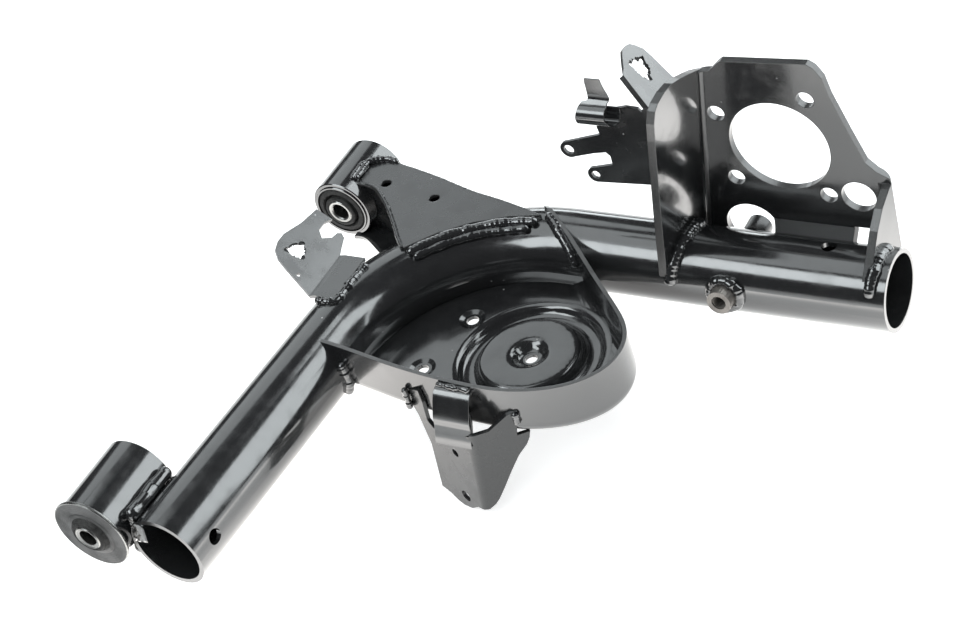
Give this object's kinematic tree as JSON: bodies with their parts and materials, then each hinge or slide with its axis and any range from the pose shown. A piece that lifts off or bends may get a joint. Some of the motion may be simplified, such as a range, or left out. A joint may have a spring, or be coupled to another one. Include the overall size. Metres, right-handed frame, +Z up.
{
  "type": "rear suspension link arm",
  "caption": "Bent tubular rear suspension arm with rubber pivot bushes, a pressed spring pan, a folded hub plate and small hose and cable brackets, in gloss black.",
  "frame": {"origin": "centre of the rear pivot bush's front face, on the pivot axis", "axes": "+Y along the pivot axis from the front bush to the rear bush, +X towards the hub end, +Z up out of the spring pan"},
  "size_m": [0.4922, 0.4244, 0.2656],
  "materials": {
    "paint": "gloss",
    "weld": "gloss",
    "boss": "satin",
    "flange_steel": "satin",
    "rubber": "matte",
    "bright_steel": "satin"
  },
  "bodies": {
    "root": {"bush_flange_front": "flange_steel", "bush_inner_front": "bright_steel", "bush_inner_rear": "bright_steel", "bush_rubber_front": "rubber", "bush_rubber_rear": "rubber", "bush_shell_rear": "flange_steel", "bush_sleeve_front": "paint", "bush_sleeve_rear": "paint", "clip_plate": "paint", "front_bracket": "paint", "gusset": "paint", "gusset_lower": "paint", "hose_bracket": "paint", "hose_tab": "paint", "hub_plate": "paint", "main_tube": "paint", "pipe_clip": "paint", "rear_stub": "paint", "spring_pan": "paint", "threaded_boss": "boss", "weld_boss": "weld", "weld_bracket_left": "weld", "weld_bracket_right": "weld", "weld_bush_front_lower": "weld", "weld_bush_front_upper": "weld", "weld_clip_plate": "weld", "weld_gusset_bush": "weld", "weld_gusset_crown": "weld", "weld_gusset_second": "weld", "weld_hose_foot": "weld", "weld_hub_left": "weld", "weld_hub_right": "weld", "weld_pan_left": "weld", "weld_pan_right": "weld", "weld_strap": "weld"}
  },
  "joints": []
}
